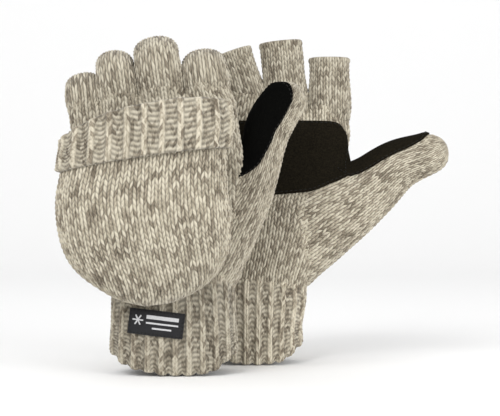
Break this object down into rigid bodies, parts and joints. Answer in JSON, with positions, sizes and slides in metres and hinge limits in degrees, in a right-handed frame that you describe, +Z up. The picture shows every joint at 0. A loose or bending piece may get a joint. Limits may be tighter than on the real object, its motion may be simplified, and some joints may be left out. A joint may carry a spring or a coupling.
{
  "type": "pair of convertible flip-top mittens",
  "caption": "Pair of wool-knit half-finger gloves, each with a mitten cap hinged on its back that flips over the fingertips, ribbed cuffs and suede patches on palm and thumb.",
  "frame": {"origin": "centre of the bounding box in X and Y, at the base the cuffs stand on", "axes": "+Z up through the fingers, -Y is the side where the left glove shows the back of its hand and the right glove its palm, +X is the side both thumbs point to"},
  "size_m": [0.255, 0.1796, 0.22],
  "materials": {
    "knit": "grey-beige marled ragg wool, knitted",
    "wadding": "thin insulating fleece",
    "lining": "brushed knit lining",
    "suede": "black-brown suede",
    "thread": "dark sewing thread",
    "label": "black woven label",
    "label_thread": "black sewing thread"
  },
  "bodies": {
    "left_hand": {"left_wrist_cuff": "knit", "left_hand_shell": "knit", "left_hand_insulation": "wadding", "left_hand_lining": "lining", "left_pinky_finger": "knit", "left_ring_finger": "knit", "left_middle_finger": "knit", "left_index_finger": "knit", "left_thumb": "knit", "left_palm_patch": "suede", "left_palm_patch_stitching": "thread", "left_thumb_patch": "suede", "left_cap_seam": "knit", "left_label": "label", "left_label_stitching": "label_thread"},
    "left_cap": {"left_cap_shell": "knit", "left_cap_insulation": "wadding", "left_cap_lining": "lining", "left_cap_mouth_panel": "knit", "left_cap_rib_band": "knit"},
    "right_hand": {"right_wrist_cuff": "knit", "right_hand_shell": "knit", "right_hand_insulation": "wadding", "right_hand_lining": "lining", "right_pinky_finger": "knit", "right_ring_finger": "knit", "right_middle_finger": "knit", "right_index_finger": "knit", "right_thumb": "knit", "right_palm_patch": "suede", "right_palm_patch_stitching": "thread", "right_thumb_patch": "suede", "right_cap_seam": "knit", "right_label": "label", "right_label_stitching": "label_thread"},
    "right_cap": {"right_cap_shell": "knit", "right_cap_insulation": "wadding", "right_cap_lining": "lining", "right_cap_mouth_panel": "knit", "right_cap_rib_band": "knit"}
  },
  "joints": [
    {"name": "left_cap_flip", "type": "hinge", "parent": "left_hand", "child": "left_cap", "pos_m": [-0.07153, -0.0503, 0.16209], "axis": [-0.9914, 0, -0.1305], "range_deg": [0, 180], "deforming": ["left_cap_mouth_panel", "left_cap_rib_band"]},
    {"name": "right_glove_apart", "type": "slide", "parent": "left_hand", "child": "right_hand", "axis": [1, 0, 0], "range_m": [0, 0.16]},
    {"name": "right_cap_flip", "type": "hinge", "parent": "right_hand", "child": "right_cap", "pos_m": [0.00626, 0.0503, 0.16182], "axis": [0.989, 0, -0.1478], "range_deg": [0, 180], "deforming": ["right_cap_mouth_panel", "right_cap_rib_band"]}
  ]
}
